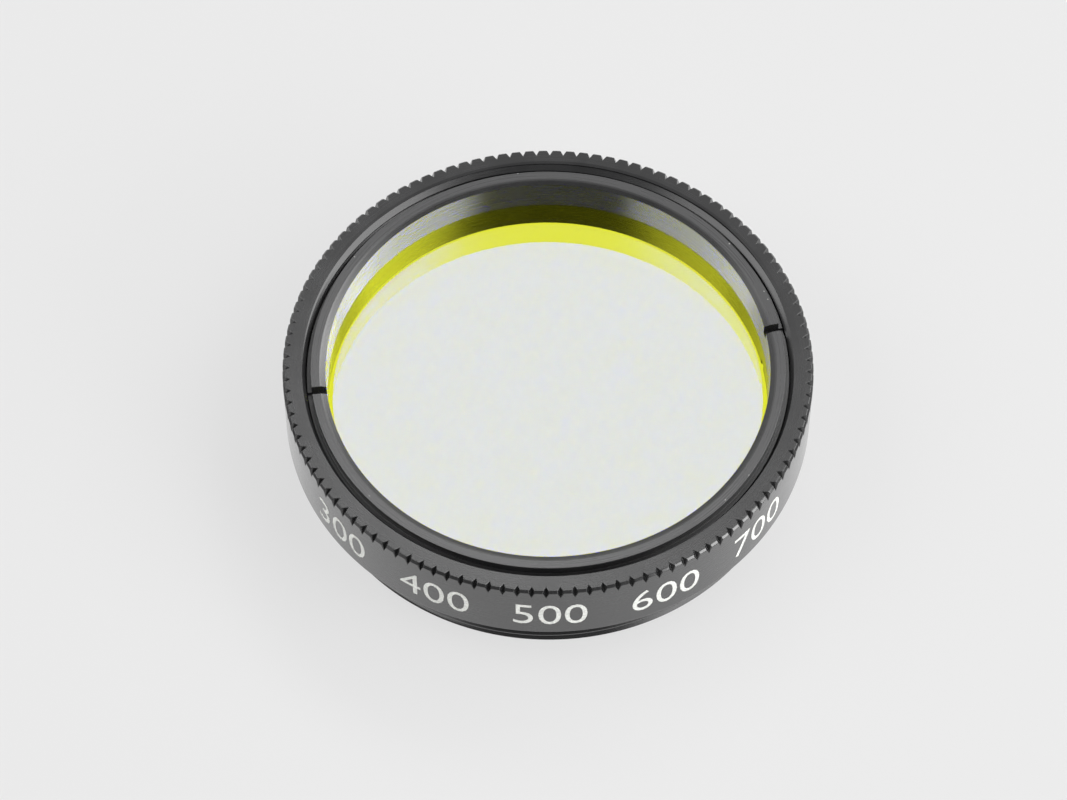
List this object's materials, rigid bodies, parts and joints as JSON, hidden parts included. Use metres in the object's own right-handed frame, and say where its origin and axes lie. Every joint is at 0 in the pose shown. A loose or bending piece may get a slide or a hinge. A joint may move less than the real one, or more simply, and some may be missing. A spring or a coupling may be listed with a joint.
{
  "type": "optical bandpass filter",
  "caption": "Round screw-in bandpass filter for a telescope eyepiece: a coated glass disc in a notched black cell, held by a slotted ring.",
  "frame": {"origin": "centre of the plane that the threaded end stands on", "axes": "+Z along the optical axis, up through the slotted retaining ring; -Y towards the scale on the band"},
  "size_m": [0.0305, 0.0304, 0.0073],
  "materials": {
    "cell": "satin black anodised",
    "glass": "polished with an interference coating that reflects yellow",
    "ring": "satin black anodised"
  },
  "bodies": {
    "root": {"filter_cell": "cell", "filter_glass": "glass", "retaining_ring": "ring"}
  },
  "joints": []
}
